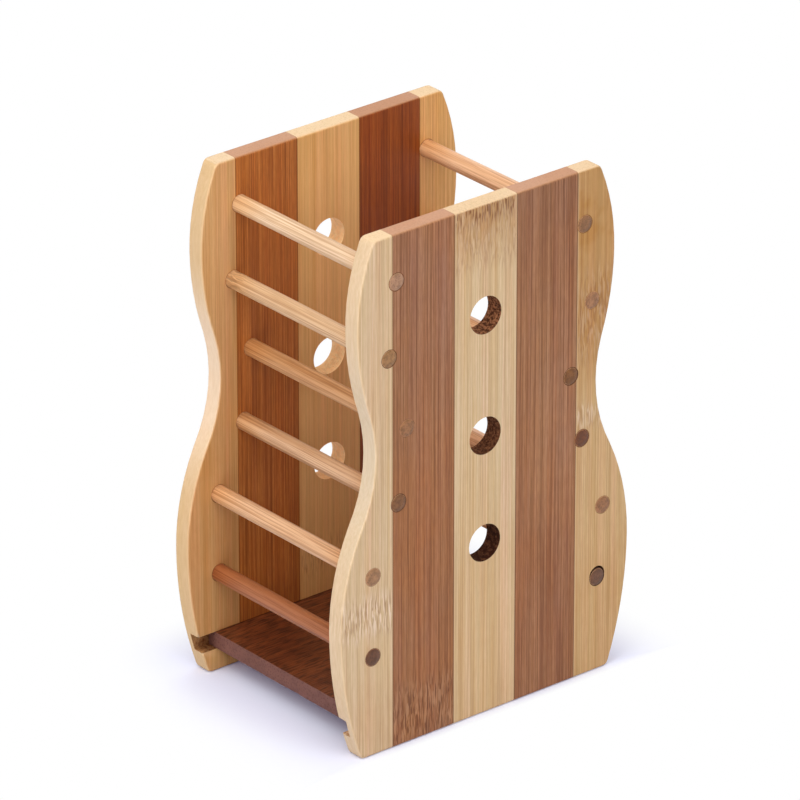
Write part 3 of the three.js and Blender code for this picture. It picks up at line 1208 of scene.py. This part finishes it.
@dataclass
class Studio:
    """The white table, the lamps and the camera."""

    azimuth: float = 50.33
    elevation: float = 25.40
    distance: float = 2.5742
    sensor: float = 36.0
    lens: float = 359.55
    clip: tuple[float, float] = (0.1, 100.0)
    aim: Vector = field(default_factory=lambda: Vector((0, -0.9, 90)) * MM)
    slide_right: float = 0.06 * MM
    slide_up: float = 5.71 * MM
    table_width: float = 8.0
    table_drop: float = 0.15 * MM
    table_colour: Colour = (0.8, 0.84, 0.96)
    table_glow: Colour = (0.022, 0.004, 0.034)
    table_roughness: float = 0.9
    feet: tuple[float, float] = (42.5 * MM, 52.0 * MM)
    shade_from: float = 2 * MM
    shade_to: float = 33 * MM
    lit_from: float = 1 * MM
    lit_to: float = 4 * MM
    lamps: tuple[SoftBox, ...] = (
        SoftBox("front softbox", 6.0, 42.0, 1.7, 1.4, 0.64, (1.0, 0.985, 0.965)),
        SoftBox("right softbox", 80.0, 34.0, 1.8, 1.5, 0.43),
        SoftBox("overhead softbox", 60.0, 80.0, 1.7, 1.5, 0.37),
        SoftBox("rear softbox", 215.0, 40.0, 2.0, 1.5, 0.22),
    )
    ambient: float = 0.34
    ambient_colour: Colour = (0.94, 0.96, 1.0)

    def build(self) -> None:
        """Set up the table, the lamps, the surroundings and the camera."""
        self._table()
        for lamp in self.lamps:
            lamp.hang(self.aim)
        self._surroundings()
        self._camera()
        bpy.context.scene.view_settings.view_transform = "Standard"

    def _table(self) -> None:
        """Lay a white table that keeps the holder's shade and goes over into plain white further out."""
        shape = bmesh.new()
        bmesh.ops.create_grid(shape, x_segments=1, y_segments=1, size=self.table_width / 2)
        table = put_shape("table", shape)
        table.location.z = -self.table_drop
        material = bpy.data.materials.new("white_table")
        material.use_nodes = True
        bench = Bench(material.node_tree)
        shader = material.node_tree.nodes["Principled BSDF"]
        seen = self._seen(bench)
        bench.fill(shader, {
            "Base Color": self.table_colour,
            "Roughness": self.table_roughness,
            "Specular IOR Level": 0.0,
            "Emission Color": self.table_glow,
            "Emission Strength": seen,
        })
        white = bench.node("ShaderNodeEmission")
        plain = bench.maths("MULTIPLY", self._faded(bench), seen)
        self._blend(bench, plain, (shader, white), "Material Output")
        table.data.materials.append(material)

    @staticmethod
    def _blend(bench: Bench, share: Output, shaders: tuple[Node, ...], output: str) -> None:
        """Go over from one shader to another by a share, and wire the result to the tree's output."""
        below, top = (shader.outputs[0] for shader in shaders)
        both = bench.node("ShaderNodeMixShader", {0: share, 1: below, 2: top})
        bench.feed(bench.tree.nodes[output].inputs["Surface"], both.outputs[0])

    def _faded(self, bench: Bench) -> Output:
        """Return how far the shade has faded, from 0 round the holder's feet to 1 further out.

        On the lit side, to the right, it fades at once.
        """
        spot = bench.split(bench.node("ShaderNodeNewGeometry").outputs["Position"])
        beyond = [
            bench.maths("MAXIMUM", bench.maths("SUBTRACT", bench.maths("ABSOLUTE", part), half), 0.0)
            for part, half in zip(spot, self.feet)
        ]
        squares = [bench.maths("MULTIPLY", part, part) for part in beyond]
        away = bench.maths("SQRT", bench.maths("ADD", *squares))
        lit_side = bench.fade(spot[X], self.feet[X] - self.lit_from, self.feet[X] + self.lit_to)
        return bench.maths("MAXIMUM", bench.fade(away, self.shade_from, self.shade_to), lit_side)

    @staticmethod
    def _seen(bench: Bench) -> Output:
        """Return 1 where the camera sees a thing, also in a reflection, and 0 for what lights others."""
        path = bench.node("ShaderNodeLightPath").outputs
        mirrored = bench.maths("MAXIMUM", path["Is Glossy Ray"], path["Is Transmission Ray"])
        return bench.maths("MAXIMUM", path["Is Camera Ray"], mirrored)

    def _surroundings(self) -> None:
        """Make the surroundings plain white to look at, and a dim cool light on the holder."""
        world = bpy.data.worlds.new("studio")
        world.use_nodes = True
        bench = Bench(world.node_tree)
        dim = world.node_tree.nodes["Background"]
        bench.fill(dim, {"Color": self.ambient_colour, "Strength": self.ambient})
        white = bench.node("ShaderNodeBackground", {"Color": WHITE})
        self._blend(bench, self._seen(bench), (dim, white), "World Output")
        bpy.context.scene.world = world

    def _camera(self) -> None:
        """Set the camera where the photograph was taken from."""
        lens = bpy.data.cameras.new("camera")
        lens.lens, lens.sensor_width = self.lens, self.sensor
        lens.clip_start, lens.clip_end = self.clip
        back = direction(self.azimuth, self.elevation)
        right = direction(self.azimuth + 90, 0)
        beside = self.aim + back * self.distance + right * self.slide_right
        camera = put("camera", lens)
        camera.location = beside + back.cross(right) * self.slide_up
        camera.rotation_euler = back.to_track_quat("Z", "Y").to_euler()
        bpy.context.scene.camera = camera


STRIPS = {
    RIGHT: (
        StripLook(
            "front_edge_strip", 1.0, (1.0, 0.985, 0.95),
            (NodeBand(50, 9, 0.4, 0.45, 0.8),),
            (TintPatch(8, 26, (0.95, 0.9, 0.87)),),
            waist_tint=(0.88, 0.98, 1.12), bulge_tint=(0.92, 0.94, 0.97),
        ),
        StripLook(
            "front_dark_strip", 2.0, WHITE,
            (NodeBand(9, 15, 0.5, 0.75, 0.6),),
            # The first patch here, a bluish lift near the top, is painted sheen.
            (TintPatch(170, 60, (1.0, 1.03, 1.16)), TintPatch(50, 80, (1.0, 0.93, 0.86))),
        ),
        StripLook(
            "centre_strip", 3.0, (1.0, 0.985, 0.92),
            (NodeBand(178, 6, 0.5, 1.0, 0.15), NodeBand(166, 11, 0.5, 0.3, 0.2)),
            (TintPatch(180, 26, (0.82, 0.65, 0.45)), TintPatch(20, 70, (0.99, 0.94, 0.88))),
        ),
        StripLook(
            "rear_dark_strip", 4.0, (0.98, 1.0, 1.04), (),
            (
                TintPatch(90, 60, (1.06, 1.1, 1.15)),
                TintPatch(175, 50, (0.91, 0.91, 0.98)),
                TintPatch(30, 50, (0.96, 0.88, 0.82)),
            ),
        ),
        StripLook(
            "rear_edge_strip", 5.0, (0.9, 0.81, 0.63),
            (NodeBand(93, 6, 0.3, 0.3, 0.55), NodeBand(128, 20, 0.5, 0.42, 0.2)),
            (
                TintPatch(160, 62, (0.77, 0.59, 0.33)),
                TintPatch(120, 24, (0.93, 0.82, 0.66)),
                TintPatch(15, 45, (0.94, 0.88, 0.78)),
            ),
        ),
    ),
    LEFT: (
        StripLook(
            "front_edge_strip", 11.0, (0.88, 0.88, 0.94), (), (TintPatch(60, 90, (0.98, 0.92, 0.82)),),
            waist_tint=(1.17, 1.21, 1.37), bulge_tint=(0.91, 0.83, 0.65), contrast=0.8,
        ),
        StripLook("front_dark_strip", 12.0, (0.95, 1.02, 1.04)),
        StripLook("centre_strip", 13.0, (1.0, 1.0, 0.98), (NodeBand(28, 8, 0.3, 0.35, 0.2),), contrast=0.65),
        # The deep tint of the left rear dark strip is partly its own darker tone and partly painted shade on
        # its inner face.
        StripLook("rear_dark_strip", 14.0, (0.57, 0.42, 0.27), (NodeBand(70, 12, 0.3, 0.4, 0.15),)),
        StripLook("rear_edge_strip", 15.0, (0.97, 0.93, 0.82), (NodeBand(38, 8, 0.3, 0.35, 0.2),)),
    ),
}
MOUTH_WEAR = {RIGHT: (1.7 * MM, 0.5 * MM), LEFT: (0.5 * MM, 0.5 * MM)}

# Each rung's body, its ends and the glue outside, from the lowest rung up, as a screen shows them.
RUNG_COLOURS = {
    "front": (
        ((158, 97, 60), (92, 55, 32), (138, 100, 72)),
        ((214, 170, 130), (150, 108, 72), (162, 124, 92)),
        ((200, 158, 120), (116, 74, 40), (100, 62, 38)),
        ((194, 145, 99), (140, 94, 57), (146, 102, 72)),
        ((213, 177, 138), (147, 105, 63), (112, 72, 42)),
        ((221, 189, 154), (159, 118, 88), (114, 70, 44)),
    ),
    "rear": (
        ((214, 168, 128), (100, 64, 42), (74, 46, 30)),
        ((216, 168, 128), (143, 97, 62), (156, 116, 78)),
        ((212, 164, 124), (102, 56, 26), (116, 72, 40)),
        ((214, 168, 128), (114, 70, 30), (88, 52, 26)),
        ((212, 164, 126), (149, 104, 69), (160, 116, 72)),
        ((216, 170, 130), (133, 91, 56), (144, 100, 58)),
    ),
}
RUNG_BANDS = {"front_rung_5": (NodeBand(-33, 5, 1, 0.6),)}
FIRST_RUNG_SEEDS = {"front": 21.0, "rear": 31.0}


def rung_looks(row: str) -> tuple[RungLook, ...]:
    """Gather what the rungs of one ladder have of their own.

    Args:
        row: Front or rear.

    Returns:
        The looks, from the lowest rung up.
    """
    looks = []
    for count, colours in enumerate(RUNG_COLOURS[row]):
        node, seed = f"{row}_rung_{count + 1}", FIRST_RUNG_SEEDS[row] + count
        body, end, glue = (srgb(*colour) for colour in colours)
        looks.append(RungLook(node, seed, body, end, glue, RUNG_BANDS.get(node, ())))
    return tuple(looks)


def finger_holes(record: dict, side: int) -> list[Hole]:
    """Find one panel's finger holes from the openings that the record gives.

    Args:
        record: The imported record.
        side: RIGHT or LEFT.

    Returns:
        The holes, each with its radius measured on the centre strip.
    """
    name = SIDE_NAMES[side]
    holes = []
    for opening in record["physics"]["openings"]:
        if opening["name"].startswith(f"{name}_hole"):
            low, high = opening["box_m"]
            holes.append(Hole((low[Y] + high[Y]) / 2, (low[Z] + high[Z]) / 2))
    corners = [corner.co for corner in bpy.data.objects[f"{name}_centre_strip"].data.vertices]
    for hole in holes:
        hole.radius = min(hole.distance(corner) for corner in corners)
    return holes


def rung_bores(looks: tuple[RungLook, ...], slack: float = 1.2 * MM) -> list[Hole]:
    """Find where the rungs pass through the panels.

    Args:
        looks: The rungs.
        slack: How much wider than its rung a bore may be.

    Returns:
        The bores, each with a radius that takes in the widest of them.
    """
    bores = []
    for look in looks:
        low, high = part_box(look.node)
        radius = (high.z - low.z) / 2 + slack
        bores.append(Hole((low.y + high.y) / 2, (low.z + high.z) / 2, radius))
    return bores


def main() -> None:
    """Build the holder and its studio, and report each piece."""
    logging.basicConfig(level=logging.INFO, format="%(name)s: %(message)s")
    for leftover in list(bpy.data.objects):
        bpy.data.objects.remove(leftover)
    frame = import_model()
    bpy.context.view_layer.update()
    effects = Effects()

    bore_wall = GLUED_AND_SHADED_BORE.material(effects)
    ladders = [rung_looks(row) for row in RUNG_COLOURS]
    bores = rung_bores(sum(ladders, ()))
    pieces = []
    for side, looks in STRIPS.items():
        walls = {
            Wall.FINGER_HOLE: FINGER_HOLES[side].material(effects),
            Wall.GROOVE: GROOVES[side].material(effects),
            Wall.RUNG_BORE: bore_wall,
        }
        holes = finger_holes(frame["record"], side)
        pieces += SidePanel(side, looks, holes, bores, walls, MOUTH_WEAR[side]).build(effects)
    strip_low, strip_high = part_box("right_centre_strip")
    for looks in ladders:
        pieces += Ladder(looks, strip_high.x - strip_low.x).build(effects)
    pieces.append(BaseBoard().build(effects))
    for piece in pieces:
        LOG.info("%s: %d faces", piece.name, len(piece.data.polygons))

    Studio().build()
    bpy.context.view_layer.update()


if __name__ == "__main__":
    main()
